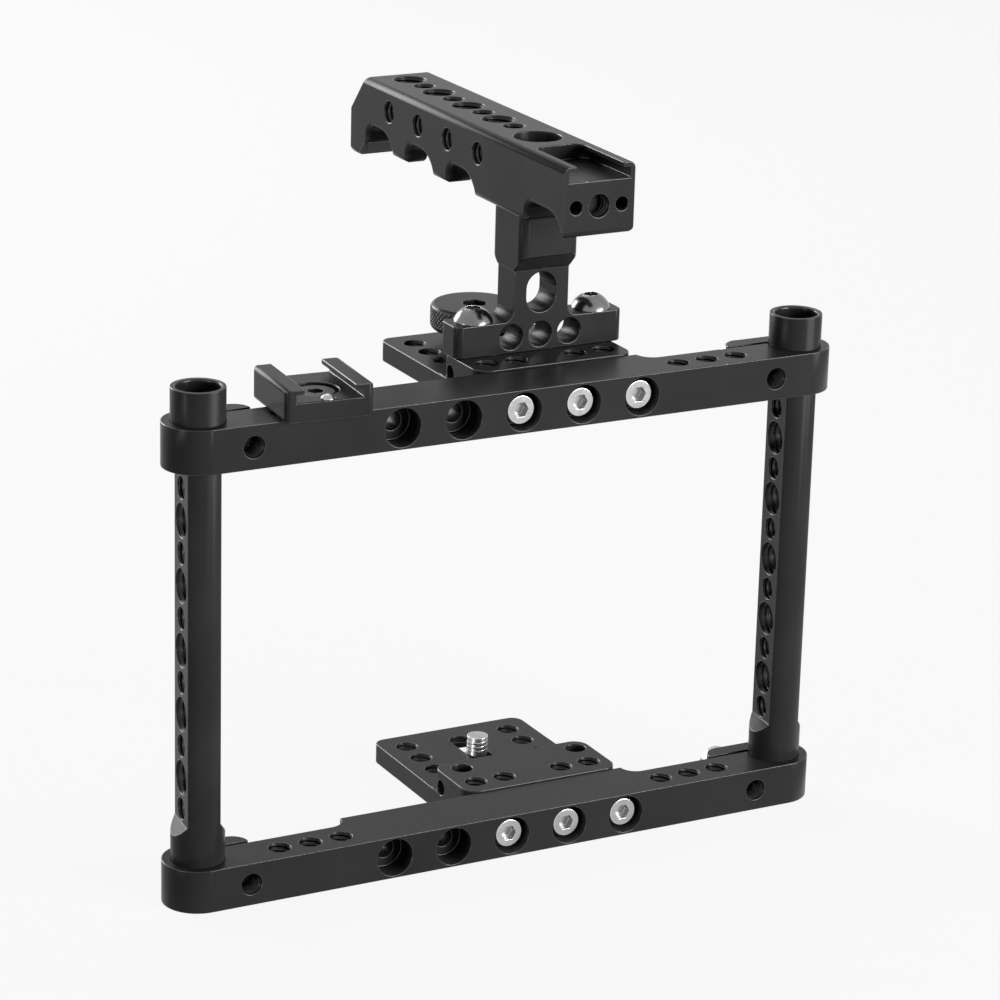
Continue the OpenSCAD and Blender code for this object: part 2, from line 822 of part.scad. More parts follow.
module handle_grip() {
    color(black) translate([riser_x, 0, grip_z]) difference() {
        intersection() {
            translate([-grip_w / 2, 0, 0]) side_profile(grip_w) grip_outline();
            translate([0, grip_front - over, (grip_h - toe_drop) / 2])
                front_profile(grip_back - grip_front + 2 * over)
                    round_rect(grip_w, grip_h + toe_drop, grip_edge);
        }
        for (i = [0 : groove_count - 1])
            translate([0, groove_y + i * groove_pitch - groove_back_x / 2, groove_depth])
                groove(groove_back_x);
        translate([0, front_groove_y - front_groove_run / 2, groove_depth])
            groove(front_groove_run);
        under_edge();
        mirror([1, 0, 0]) under_edge();
        translate([0, 0, grip_h]) grip_slot();
        translate([0, bolt_y, bolt_seat])
            cylinder(d = bolt_cbore_d, h = grip_h - bolt_seat + over);
        translate([0, bolt_y, -over])
            cylinder(d = bolt_thread_d + 2 * hole_gap, h = bolt_seat + 2 * over);
        for (i = [0 : grip_hole_count - 1])
            translate([0, grip_hole_y + i * grip_hole_pitch, -over])
                cylinder(d = i % 2 == 0 ? small_thread_d : large_thread_d, h = grip_h + 2 * over);
        for (i = [0 : 2 : grip_hole_count - 1])
            translate([-grip_w, grip_hole_y + side_hole_lag + i * grip_hole_pitch,
                grip_h - side_hole_drop]) rightward() cylinder(d = small_thread_d, h = 2 * grip_w);
        translate([0, grip_front - over, grip_h - front_hole_drop]) backward()
            cylinder(d = small_thread_d, h = front_hole_depth + over);
        for (s = [-1, 1])
            translate([s * front_hole_x, grip_front - over, grip_h - front_hole_drop]) backward()
                cylinder(d = dowel_hole_d, h = dowel_hole_depth + over);
    }
}

module handle_bolt() {
    color(dark) translate([riser_x, bolt_y, grip_z + bolt_seat])
        cap_screw(bolt_thread_d, bolt_l, bolt_head_d, bolt_head_h, bolt_hex, bolt_hex_depth,
            plate_screw_chamfer);
}

// Knurled disc with a hexagonal socket, above the collar
module thumb_knob() {
    r = knob_d / 2;
    color(black) translate([plate_x, knob_y, knob_z]) difference() {
        rotate_extrude()
            polygon([[0, 0], [r - knob_edge, 0], [r, knob_edge], [r, knob_h - knob_edge],
                [r - knob_edge, knob_h], [0, knob_h]]);
        translate([0, 0, knob_h]) hex_socket(knob_hex, knob_hex_depth);
        translate([0, 0, -over]) cylinder(d = stud_d, h = stud_hold + over);
    }
}

// Threaded stud fixed in the knob
module thumb_stud() {
    foot = top_z - stud_reach;
    color(steel) translate([plate_x, knob_y, foot])
        cylinder(d = stud_d, h = knob_z + stud_hold - foot);
}

// Collar between the knob and the plate
module thumb_collar() {
    color(black) translate([plate_x, knob_y, tail_z + slide_gap]) difference() {
        cylinder(d = collar_d, h = collar_h);
        translate([0, 0, -over]) cylinder(d = small_thread_d, h = collar_h + 2 * over);
    }
}

// Square washer that fits the recess under a slot, with its top at z = 0
module slot_washer() {
    translate([0, 0, -washer_t]) difference() {
        linear_extrude(washer_t) round_rect(washer_w, washer_w, washer_r);
        translate([0, 0, -over]) cylinder(d = small_thread_d, h = washer_t + 2 * over);
    }
}

module thumb_washer() {
    color(steel) translate([plate_x, knob_y, top_z + recess_depth - slide_gap]) slot_washer();
}

// Retaining ring on the stud, under the washer
module thumb_clip() {
    color(dark) translate([plate_x, knob_y, top_z + ledge_h - clip_t]) difference() {
        cylinder(d = clip_d, h = clip_t);
        translate([0, 0, -over]) cylinder(d = stud_d, h = clip_t + 2 * over);
    }
}

// Flat screw with a coin slot, for the foot of the camera
module base_screw() {
    color(steel) translate([plate_x, base_screw_y, ledge_h]) difference() {
        union() {
            translate([0, 0, -base_head_h]) cylinder(d = base_head_d, h = base_head_h);
            cylinder(d = stud_d, h = tail_t - ledge_h + base_screw_reach);
        }
        translate([0, 0, -base_head_h])
            cube([coin_w, base_head_d + over, 2 * coin_depth], center = true);
    }
}

module base_screw_washer() {
    color(steel) translate([plate_x, base_screw_y, recess_depth - slide_gap]) slot_washer();
}

bottom_bar();
top_bar();
left_rod();
right_rod();
bottom_plate();
top_plate();
bottom_plate_screws();
top_plate_screws();
bottom_left_clamp_screw();
bottom_right_clamp_screw();
top_left_clamp_screw();
top_right_clamp_screw();
cold_shoe();
shoe_screw();
shoe_stop_pin();
riser();
riser_screws();
handle_grip();
handle_bolt();
thumb_knob();
thumb_stud();
thumb_collar();
thumb_washer();
thumb_clip();
base_screw();
base_screw_washer();
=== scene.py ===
"""Camera cage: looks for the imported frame.

The solids keep their own shapes and get chamfered edges and procedural finishes here.
Threads, knurls and the threaded studs are new surfaces, worked out on grids.
"""
import json

import bpy
import numpy as np
from mathutils import Matrix, Vector


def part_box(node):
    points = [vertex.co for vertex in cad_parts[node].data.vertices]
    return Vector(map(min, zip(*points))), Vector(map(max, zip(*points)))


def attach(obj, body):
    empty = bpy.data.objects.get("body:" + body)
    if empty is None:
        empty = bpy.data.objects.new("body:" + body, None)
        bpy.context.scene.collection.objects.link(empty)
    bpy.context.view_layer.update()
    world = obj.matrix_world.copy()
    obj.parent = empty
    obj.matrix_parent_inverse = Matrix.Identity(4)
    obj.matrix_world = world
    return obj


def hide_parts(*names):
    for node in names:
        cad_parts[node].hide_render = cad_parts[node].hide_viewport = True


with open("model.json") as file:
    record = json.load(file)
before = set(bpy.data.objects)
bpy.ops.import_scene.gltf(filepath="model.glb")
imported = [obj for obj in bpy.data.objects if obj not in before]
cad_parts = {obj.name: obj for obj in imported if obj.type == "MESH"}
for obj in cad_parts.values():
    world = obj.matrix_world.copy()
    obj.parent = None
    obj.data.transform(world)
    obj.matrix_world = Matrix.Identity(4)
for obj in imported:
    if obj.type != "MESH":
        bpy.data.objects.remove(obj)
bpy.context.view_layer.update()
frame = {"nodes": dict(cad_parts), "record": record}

MM = 0.001
TURN = 2 * np.pi

# Camera, fitted to the photograph: angles in degrees, lengths in millimetres
CAM_AZIMUTH = -28.343
CAM_ELEVATION = 18.438
CAM_ROLL = 1.556
CAM_DISTANCE = 1061.5
CAM_TARGET = (-1.5, 0.0, 103.54)
CAM_LENS = 137.96
CAM_SENSOR = 36.0

# Standard threads: pitch and depth of the flanks, in millimetres
SMALL_PITCH, LARGE_PITCH = 25.4 / 20, 25.4 / 16
M6_PITCH, M12_PITCH = 1.0, 1.75
FLANK = 0.5
# Plain lead before a lining's thread, as a share of its pitch, and plain rest at its far end
THREAD_LEAD = 0.35
THREAD_REST = 0.4

# Sizes that repeat those of the solids, in millimetres
ROD_SPACING = 185.0
ROD_FLAT, ROD_TURN = 9.5, -6.0
ROD_HOLE_FIRST, ROD_HOLE_PITCH, ROD_HOLES = 27.6, 9.2, 11
ROD_BORE, ROD_BORE_PLAIN, ROD_BORE_RUN = 12.0, 3.5, 17.0
SMALL, LARGE = 6.35, 9.525
TOP_BAR_Z = 125.5
BAR_H = 12.5
BAR_HOLE_Y, BAR_HOLE_PITCH = -3.15, 9.4
BAR_ROW_RIGHT, BAR_ROW_LEFT = 52.2, 50.5
PLATE_X = 20.0
TAIL_T, TAIL_HOLE_X, TAIL_HOLE_Y, TAIL_HOLE_PITCH = 6.0, 17.1, 43.7, 9.5
BLOCK_H, BLOCK_HOLE_Y, BLOCK_HOLE_PITCH, BLOCK_BLIND = 13.0, 15.4, 9.3, 4.0
JAW_X, JAW_THREAD, JAW_RUN = 80.65, 6.12, 6.8
BAR_FRONT = 10.0
GRIP_X, GRIP_TOP, GRIP_W = 21.2, 199.0, 22.0
GRIP_HOLE_Y, GRIP_HOLE_PITCH, GRIP_HOLES = 39.8, 9.3, 8
GRIP_SIDE_DROP, GRIP_SIDE_LAG, GRIP_FRONT_DROP, GRIP_FRONT_RUN = 7.2, 1.1, 11.5, 4.0
GRIP_HOLE_RUN, GRIP_SIDE_RUN = 12.5, 6.0
PLATE_SCREWS_X = (0.0, 18.5, 37.0)
SCREW_SEAT, SCREW_HEAD, SCREW_HEAD_H = -3.0, 8.7, 5.0

# Knurls, in millimetres: plain rims, depth and number of teeth
KNURL_EDGE, KNURL_DEPTH, KNURL_TEETH = 0.7, 0.3, 52
SCREW_KNURL_FOOT, SCREW_KNURL_TOP = 0.6, 0.7
SCREW_KNURL_DEPTH, SCREW_KNURL_TEETH, SCREW_KNURL_ROWS = 0.16, 36, 6

# Base screw's thread, in millimetres: its crests, its run and its gap below the screw's end
BASE_THREAD, BASE_THREAD_RUN, BASE_THREAD_GAP = 6.44, 5.3, 0.05
BASE_THREAD_SHARE = 0.2

# Light: how white the floor and the world are by themselves, the floor's half width in metres,
# and each soft box's spot and aim in metres, its width in metres and its power in watts
FLOOR_GLOW = 0.9
FLOOR_HALF = 6.0
WORLD_LEVEL = 0.05
LAMPS = {"front_right": ((0.8, -1.3, 0.3), (0, 0, 0.1), 0.9, 31),
         "left": ((-1.45, -0.2, 0.15), (0, 0, 0.1), 0.4, 4.5),
         "top_back": ((0.3, 1.0, 1.3), (0, 0, 0.15), 0.8, 3.5),
         "back": ((-0.5, 1.4, 0.5), (0, 0, 0.1), 0.8, 16)}


# Surfaces, as points on grids


def smooth(t):
    """Smooth step from 0 to 1 over t from 0 to 1."""
    t = np.clip(t, 0, 1)
    return t * t * (3 - 2 * t)


def frame_axes(axis):
    """Two unit vectors square to the axis, right-handed with it."""
    a = np.asarray(axis, float)
    a = a / np.linalg.norm(a)
    help_axis = np.array([0.0, 0.0, 1.0]) if abs(a[2]) < 0.9 else np.array([1.0, 0.0, 0.0])
    u = np.cross(help_axis, a)
    u = u / np.linalg.norm(u)
    return u, np.cross(a, u), a


def spun(origin, axis, radius, height, closed=False):
    """Grid about an axis: point(i, j) = origin + radius[i, j] * direction(j) + height[i] * axis.

    Rows run along the axis and columns round it. A closed grid joins its last row to its
    first, like a ring. An open one has its two end rows filled.
    """
    u, v, a = frame_axes(axis)
    rows, cols = radius.shape
    angle = np.arange(cols) / cols * TURN
    around = np.cos(angle)[:, None] * u + np.sin(angle)[:, None] * v
    points = radius[:, :, None] * around[None] + np.asarray(height)[:, None, None] * a
    points = points.reshape(-1, 3) + np.asarray(origin, float)
    j = np.arange(cols)
    k = (j + 1) % cols
    i = np.arange(rows if closed else rows - 1)
    n = (i + 1) % rows
    quads = np.stack([i[:, None] * cols + j, i[:, None] * cols + k,
                      n[:, None] * cols + k, n[:, None] * cols + j], -1).reshape(-1, 4)
    caps = [] if closed else [j[::-1], (rows - 1) * cols + j]
    return points, quads, caps


def wave(angle, height, pitch):
    """Thread flanks from 0 in the groove to 1 on the crest, along a helix of the pitch."""
    phase = height[:, None] / pitch - angle[None, :] / TURN
    ramp = np.abs(2 * (phase % 1) - 1)
    return np.clip(1.5 * ramp - 0.25, 0, 1)


def bore_thread(mouth, axis, diameter, pitch, run, cols=36, steps=6):
    """Threaded lining of a hole: radius = wall - depth * wave, fading out at both ends.

    The mouth is the hole's middle on its outer face and the axis points out of it.
    """
    wall = diameter / 2
    depth = FLANK * pitch
    lead = THREAD_LEAD * pitch
    height = np.linspace(-lead, -run, max(8, int(run / pitch * steps)))
    angle = np.arange(cols) / cols * TURN
    fade = smooth((-lead - height) / pitch) * smooth((height + run) / pitch)
    crest = wave(angle, height, pitch) * fade[:, None]
    inner = wall - 0.02 - depth * crest
    outer = np.full((2, cols), wall + 0.05)
    radius = np.vstack([inner, outer])
    heights = np.concatenate([height, [-run, -lead]])
    points, quads, caps = spun(mouth, axis, radius, heights, closed=True)
    shade = np.concatenate([crest.ravel(), np.zeros(2 * cols)])
    return points, quads, caps, shade


def stud_thread(foot, axis, diameter, pitch, length, cols=40, steps=8, depth_share=0.54):
    """Threaded shank: radius = half the diameter - depth * (1 - wave), with tapered ends."""
    height = np.linspace(0, length, int(length / pitch * steps))
    angle = np.arange(cols) / cols * TURN
    crest = wave(angle, height, pitch)
    taper = 1 - smooth(1 - np.minimum(height, length - height) / pitch)
    depth = depth_share * pitch
    radius = diameter / 2 - depth * (1 - crest * taper[:, None])
    points, quads, caps = spun(foot, axis, radius, height)
    return points, quads, caps, crest.ravel()


def knurl_band(origin, axis, diameter, z_low, z_high, teeth, depth, diamond=True, rows=17, per=6):
    """Knurled band: radius = outer - depth * distance to the nearest tooth, pinched at its ends.

    A diamond knurl takes the deeper of two crossing helical grooves, a straight one only one.
    """
    cols = teeth * per
    height = np.linspace(z_low, z_high, rows)
    angle = np.arange(cols) / cols * TURN
    lean = (height - z_low)[:, None] * (2 / diameter) if diamond else 0 * height[:, None]
    first = np.abs(2 * ((angle[None] + lean) * teeth / TURN % 1) - 1)
    second = np.abs(2 * ((angle[None] - lean) * teeth / TURN % 1) - 1)
    groove = np.maximum(first, second) ** 2
    edge = smooth((height - z_low) / depth) * smooth((z_high - height) / depth)
    lift = (1 - groove) * edge[:, None]
    outer = diameter / 2 + depth * lift
    inner = np.full((2, cols), diameter / 2 - depth)
    radius = np.vstack([inner[:1], outer, inner[:1]])
    heights = np.concatenate([[z_low], height, [z_high]])
    points, quads, caps = spun(origin, axis, radius, heights, closed=True)
    flat = np.zeros(cols)
    return points, quads, caps, np.concatenate([flat, lift.ravel(), flat])


def build(name, parts, body, material, smooth_faces=True):
    """One object from several grids, with their crest heights as the attribute 'crest'."""
    points, faces, shades, base = [], [], [], 0
    for p, quads, caps, shade in parts:
        points.append(p)
        shades.append(shade)
        faces += [list(q + base) for q in caps]
        faces += (quads + base).tolist()
        base += len(p)
    mesh = bpy.data.meshes.new(name)
    mesh.from_pydata((np.vstack(points) * MM).tolist(), [], faces)
    mesh.update()
    layer = mesh.attributes.new("crest", "FLOAT", "POINT")
    layer.data.foreach_set("value", np.concatenate(shades).astype(np.float32))
    if smooth_faces:
        mesh.polygons.foreach_set("use_smooth", np.ones(len(mesh.polygons), bool))
    piece = bpy.data.objects.new(name, mesh)
    bpy.context.scene.collection.objects.link(piece)
    mesh.materials.append(material)
    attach(piece, body)
    return piece


# Finishes, as shader nodes


class Value:
    """A shader socket that adds Math nodes when it is used in an expression."""

    def __init__(self, net, socket):
        self.net, self.socket = net, socket

    def _math(self, operation, *others, swap=False):
        args = (self, *others)
        if swap:
            args = args[::-1]
        return self.net.node("ShaderNodeMath", {"operation": operation}, dict(enumerate(args)))

    def __add__(self, other):
        return self._math("ADD", other)

    def __sub__(self, other):
        return self._math("SUBTRACT", other)

    def __rsub__(self, other):
        return self._math("SUBTRACT", other, swap=True)

    def __mul__(self, other):
        return self._math("MULTIPLY", other)

    __radd__, __rmul__ = __add__, __mul__


class Net:
    """One material's node tree."""

    def __init__(self, name):
        self.material = bpy.data.materials.new(name)
        self.material.use_nodes = True
        self.tree = self.material.node_tree
        self.tree.nodes.clear()
        self.place = self.node("ShaderNodeTexCoord", out="Object")

    def node(self, kind, settings=None, sockets=None, out=0):
        """Adds a node: its settings first, then its sockets' values or links."""
        made = self.tree.nodes.new(kind)
        for key, value in (settings or {}).items():
            setattr(made, key, value)
        for key, value in (sockets or {}).items():
            if isinstance(value, Value):
                self.tree.links.new(value.socket, made.inputs[key])
            else:
                made.inputs[key].default_value = value
        return Value(self, made.outputs[out])

    def noise(self, scale, detail, roughness=0.5, stretch=(1, 1, 1)):
        """Noise on the piece's own place in metres, from 0 to 1 about its middle."""
        spot = self.node("ShaderNodeVectorMath", {"operation": "MULTIPLY"},
                         {0: self.place, 1: stretch})
        return self.node("ShaderNodeTexNoise", {},
                         {"Vector": spot, "Scale": scale, "Detail": detail,
                          "Roughness": roughness}, out="Fac")

    def ramp(self, value, low, high):
        """Stretches a value from low..high to 0..1."""
        return self.node("ShaderNodeMapRange", {},
                         {"Value": value, "From Min": low, "From Max": high})

    def mix(self, factor, low, high):
        """Blends two colours."""
        return self.node("ShaderNodeMix", {"data_type": "RGBA"},
                         {"Factor": factor, "A": (*low, 1), "B": (*high, 1)}, out="Result")

    def crest(self):
        """Height within a thread or knurl, from 0 in the groove to 1 on the crest."""
        return self.node("ShaderNodeAttribute", {"attribute_name": "crest"}, out="Fac")

    def finish(self, bump, bump_depth, **sockets):
        """Principled shader with a bump, whose depth is in metres, as the material's surface."""
        values = {key.replace("_", " "): value for key, value in sockets.items()}
        values["Normal"] = self.node("ShaderNodeBump", {},
                                     {"Strength": 1.0, "Distance": bump_depth, "Height": bump})
        self.output(self.node("ShaderNodeBsdfPrincipled", {}, values))
        return self.material

    def output(self, shader):
        """Makes the shader the material's surface."""
        end = self.tree.nodes.new("ShaderNodeOutputMaterial")
        self.tree.links.new(shader.socket, end.inputs["Surface"])


def anodised():
    """Satin black anodised aluminium: fine blasted grain, faint clouds and rubbed spots."""
    net = Net("black_anodised")
    grain = net.noise(2600, 3)
    cloud = net.noise(45, 3)
    rub = net.ramp(net.noise(160, 5, 0.65), 0.62, 0.80)
    color = net.mix(net.ramp(cloud, 0.3, 0.7), (0.026, 0.026, 0.0267), (0.036, 0.036, 0.0367))
    return net.finish(bump=grain, bump_depth=0.000004, Base_Color=color, IOR=1.17,
                      Roughness=0.24 + 0.06 * cloud + 0.05 * grain + 0.05 * rub)


def anodised_edge():
    """Chamfers of the anodised parts: smoother, and rubbed to bare metal in short spots."""
    net = Net("black_anodised_edge")
    wear = net.ramp(net.noise(380, 4, 0.6), 0.60, 0.74)
    color = net.mix(wear, (0.015, 0.015, 0.016), (0.13, 0.13, 0.135))
    return net.finish(bump=net.noise(1500, 2), bump_depth=0.000003, Base_Color=color,
                      Metallic=0.05 + 0.5 * wear, Roughness=0.22 + 0.08 * wear)


def machined(name, low, high, rough, metallic=1.0):
    """Machined steel: fine lines of the tool and small stains."""
    net = Net(name)
    lines = net.noise(900, 2, stretch=(1, 0.15, 1))
    stain = net.noise(120, 4)
    color = net.mix(net.ramp(stain, 0.35, 0.75), high, low)
    return net.finish(bump=lines, bump_depth=0.000006, Base_Color=color, Metallic=metallic,
                      Roughness=rough + 0.12 * lines + 0.08 * stain)


def threaded(name, groove, crest, rough, metallic):
    """Threads and knurls: the groove colour darkens the grooves as painted shade, the crest colour
    tops the crests, and the crests are smoother.
    """
    net = Net(name)
    top = net.ramp(net.crest(), 0.35, 1.0)
    color = net.mix(top, groove, crest)
    return net.finish(bump=net.noise(1800, 2), bump_depth=0.000004, Base_Color=color,
                      Metallic=metallic, Roughness=rough - 0.12 * top + 0.05 * net.noise(500, 2))


BLACK = anodised()
EDGE = anodised_edge()
STEEL = machined("bright_steel", (0.30, 0.30, 0.31), (0.46, 0.46, 0.46), 0.16)
# Darker copy of the bright steel for the riser screws' domes: painted shade.
DOME_SHADED = machined("domed_steel_painted_shade", (0.10, 0.10, 0.105), (0.22, 0.22, 0.22), 0.12)
# Chamfers of the bright steel, much lighter than its faces: a painted highlight along the edges.
STEEL_EDGE_HIGHLIGHT = machined("bright_steel_edge_painted_highlight", (0.60, 0.60, 0.60), (0.74, 0.74, 0.74), 0.12)
OXIDE = machined("black_oxide", (0.018, 0.018, 0.019), (0.035, 0.034, 0.033), 0.34, 0.6)
# Chamfers of the black oxide, lighter than its faces: a painted highlight along the edges.
OXIDE_EDGE_HIGHLIGHT = machined("black_oxide_edge_painted_highlight", (0.05, 0.05, 0.05), (0.12, 0.12, 0.12), 0.28, 0.8)
# The grooves of the anodised threads and of the knurl are darker than the anodised faces: painted
# shade.
BLACK_THREAD = threaded("anodised_thread_painted_shade", (0.001, 0.001, 0.001), (0.03, 0.03, 0.031), 0.32, 0.3)
KNURL = threaded("anodised_knurl_painted_shade", (0.006, 0.006, 0.007), (0.035, 0.035, 0.037), 0.42, 0.2)
# The steel threads' grooves are darkened as painted shade, and their crests are lighter than the
# bright steel as a painted highlight.
STEEL_THREAD = threaded("steel_thread_painted_shade_and_highlight", (0.16, 0.16, 0.165), (0.62, 0.62, 0.63), 0.34, 1.0)

# Finishes of the faces and of the chamfers: by material slot, and for one node by its name
SLOT_FINISH = {"black_anodised": (BLACK, EDGE), "stainless": (STEEL, STEEL_EDGE_HIGHLIGHT),
               "black_steel": (OXIDE, OXIDE_EDGE_HIGHLIGHT)}
# The riser screws take the darker steel copy for their domes, painted shade, and the lighter steel
# chamfers, a painted highlight.
NODE_FINISH = {"riser_screws": (DOME_SHADED, STEEL_EDGE_HIGHLIGHT)}

# Width of the chamfer on each node's edges, in millimetres
CHAMFER = {"bottom_bar": 0.25, "top_bar": 0.25, "left_rod": 0.22, "right_rod": 0.22,
           "bottom_plate": 0.3, "top_plate": 0.3, "riser": 0.35, "handle_grip": 0.3,
           "cold_shoe": 0.3, "thumb_knob": 0.2}
CHAMFER_REST = 0.12

# Least turn between two faces, in degrees, at which their edge is chamfered. The handle's
# grooves meet its lobes more gently than that.
BEVEL_FROM = {"handle_grip": 48}
BEVEL_FROM_REST = 32

# Reach of the weld, in millimetres, and the turn up to which triangles count as one face
WELD_REACH = 0.002
FLAT_TURN = 0.3


def dress(name, node):
    """Welds a solid's loose triangles, joins its flat ones and chamfers its sharp edges."""
    slot = next(s["material_slot"] for s in frame["record"]["subparts"] if s["node"] == name)
    face, edge = NODE_FINISH.get(name, SLOT_FINISH[slot])
    node.data.materials.clear()
    node.data.materials.append(face)
    node.data.materials.append(edge)
    weld = node.modifiers.new("weld", "WELD")
    weld.merge_threshold = WELD_REACH * MM
    flat = node.modifiers.new("flat", "DECIMATE")
    flat.decimate_type = "DISSOLVE"
    flat.angle_limit = np.radians(FLAT_TURN)
    bevel = node.modifiers.new("chamfer", "BEVEL")
    bevel.width = CHAMFER.get(name, CHAMFER_REST) * MM
    bevel.segments = 2
    bevel.limit_method = "ANGLE"
    bevel.angle_limit = np.radians(BEVEL_FROM.get(name, BEVEL_FROM_REST))
    # The chamfers take the second material, which on steel and oxide parts is lighter than the
    # faces: a painted highlight.
    bevel.material = 1
    bevel.harden_normals = True
    bevel.loop_slide = False
    bevel.use_clamp_overlap = False


for node_name, node_object in frame["nodes"].items():
    dress(node_name, node_object)


# Threads in the holes


def span(first, step, count):
    """Places of a row of holes."""
    return [first + k * step for k in range(count)]


def rod_threads(x):
    """Linings of a rod's cross holes, small and large in turn, and of its two end bores."""
    parts = []
    turn = np.radians(ROD_TURN)
    axis = np.array([np.cos(turn), np.sin(turn), 0])
    for k, z in enumerate(span(ROD_HOLE_FIRST, ROD_HOLE_PITCH, ROD_HOLES)):
        size, pitch = (SMALL, SMALL_PITCH) if k % 2 == 0 else (LARGE, LARGE_PITCH)
        mouth = np.array([x, 0, z]) + axis * ROD_FLAT / 2
        parts.append(bore_thread(mouth, axis, size, pitch, ROD_FLAT - THREAD_LEAD * pitch))
    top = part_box("left_rod")[1][2] / MM
    parts.append(bore_thread((x, 0, top - ROD_BORE_PLAIN), (0, 0, 1), ROD_BORE, M12_PITCH,
                             ROD_BORE_RUN - ROD_BORE_PLAIN, cols=56))
    parts.append(bore_thread((x, 0, ROD_BORE_PLAIN), (0, 0, -1), ROD_BORE, M12_PITCH,
                             ROD_BORE_RUN - ROD_BORE_PLAIN, cols=56))
    return parts


def bar_threads(z, rows):
    """Linings of a bar's holes on top and of the two clamp threads in its front."""
    parts = [bore_thread((x, BAR_HOLE_Y, z + BAR_H), (0, 0, 1), SMALL, SMALL_PITCH,
                         BAR_H - THREAD_REST)
             for x in rows]
    parts += [bore_thread((x, -BAR_FRONT, z + BAR_H / 2), (0, -1, 0), JAW_THREAD, M6_PITCH, JAW_RUN)
              for x in (-JAW_X, JAW_X)]
    return parts


def plate_threads(z):
    """Linings of a plate's holes: two rows in the tail and one row of four in the block."""
    parts = [bore_thread((PLATE_X + s * TAIL_HOLE_X, y, z + TAIL_T), (0, 0, 1), SMALL, SMALL_PITCH,
                         TAIL_T - THREAD_REST)
             for s in (-1, 1) for y in span(TAIL_HOLE_Y, TAIL_HOLE_PITCH, 3)]
    for k in (-2, -1, 1, 2):
        run = BLOCK_BLIND if abs(k) == 2 else BLOCK_H - THREAD_REST
        parts.append(bore_thread((PLATE_X + k * BLOCK_HOLE_PITCH, BLOCK_HOLE_Y, z + BLOCK_H),
                                 (0, 0, 1), SMALL, SMALL_PITCH, run))
    return parts


def grip_threads():
    """Linings of the handle's holes on top, in its sides and in its front."""
    parts = []
    for k, y in enumerate(span(GRIP_HOLE_Y, GRIP_HOLE_PITCH, GRIP_HOLES)):
        small = k % 2 == 0
        size, pitch = (SMALL, SMALL_PITCH) if small else (LARGE, LARGE_PITCH)
        run = GRIP_SIDE_DROP - SMALL / 2 if small else GRIP_HOLE_RUN
        parts.append(bore_thread((GRIP_X, y, GRIP_TOP), (0, 0, 1), size, pitch, run))
        if small:
            for s in (-1, 1):
                mouth = (GRIP_X + s * GRIP_W / 2, y + GRIP_SIDE_LAG, GRIP_TOP - GRIP_SIDE_DROP)
                parts.append(bore_thread(mouth, (s, 0, 0), size, pitch, GRIP_SIDE_RUN))
    parts.append(bore_thread((GRIP_X, -BAR_FRONT, GRIP_TOP - GRIP_FRONT_DROP), (0, -1, 0), SMALL,
                             SMALL_PITCH, GRIP_FRONT_RUN))
    return parts


rows_right = span(BAR_ROW_RIGHT, BAR_HOLE_PITCH, 3)
rows_left = span(-BAR_ROW_LEFT, -BAR_HOLE_PITCH, 3)
build("left_rod_threads", rod_threads(-ROD_SPACING / 2), "lower_frame", BLACK_THREAD)
build("right_rod_threads", rod_threads(ROD_SPACING / 2), "lower_frame", BLACK_THREAD)
build("bottom_bar_threads", bar_threads(0, rows_right + rows_left), "lower_frame", BLACK_THREAD)
build("top_bar_threads", bar_threads(TOP_BAR_Z, rows_right), "upper_frame", BLACK_THREAD)
build("bottom_plate_threads", plate_threads(0), "lower_frame", BLACK_THREAD)
build("top_plate_threads", plate_threads(TOP_BAR_Z), "upper_frame", BLACK_THREAD)
build("handle_threads", grip_threads(), "upper_frame", BLACK_THREAD)


# Knurls and threaded studs

knob_low, knob_high = (np.array(c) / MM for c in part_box("thumb_knob"))
knob_mid = (knob_low + knob_high) / 2
build("thumb_knob_knurl",
      [knurl_band((knob_mid[0], knob_mid[1], 0), (0, 0, 1), knob_high[0] - knob_low[0],
                  knob_low[2] + KNURL_EDGE, knob_high[2] - KNURL_EDGE, KNURL_TEETH, KNURL_DEPTH)],
      "thumb_screw", KNURL, smooth_faces=False)

stud_low, stud_high = (np.array(c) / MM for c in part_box("thumb_stud"))
stud_mid = (stud_low + stud_high) / 2
stud = build("thumb_stud_thread",
             [stud_thread((stud_mid[0], stud_mid[1], stud_low[2]), (0, 0, 1),
                          stud_high[0] - stud_low[0], SMALL_PITCH, stud_high[2] - stud_low[2])],
             "thumb_screw", STEEL_THREAD)
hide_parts("thumb_stud")

for level, z, body in (("bottom", 0, "lower_frame"), ("top", TOP_BAR_Z, "upper_frame")):
    build(f"{level}_plate_screw_knurls",
          [knurl_band((x, SCREW_SEAT, z + BAR_H / 2), (0, -1, 0), SCREW_HEAD, SCREW_KNURL_FOOT,
                      SCREW_HEAD_H - SCREW_KNURL_TOP, SCREW_KNURL_TEETH, SCREW_KNURL_DEPTH,
                      diamond=False, rows=SCREW_KNURL_ROWS)
           for x in PLATE_SCREWS_X], body, STEEL_THREAD)

base_low, base_high = (np.array(c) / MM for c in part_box("base_screw"))
base_mid = (base_low + base_high) / 2
base_foot = base_high[2] - BASE_THREAD_RUN - BASE_THREAD_GAP
build("base_screw_thread",
      [stud_thread((base_mid[0], base_mid[1], base_foot), (0, 0, 1), BASE_THREAD, SMALL_PITCH,
                   BASE_THREAD_RUN, depth_share=BASE_THREAD_SHARE)],
      "base_fixing", STEEL_THREAD)


# Camera, lamps and floor


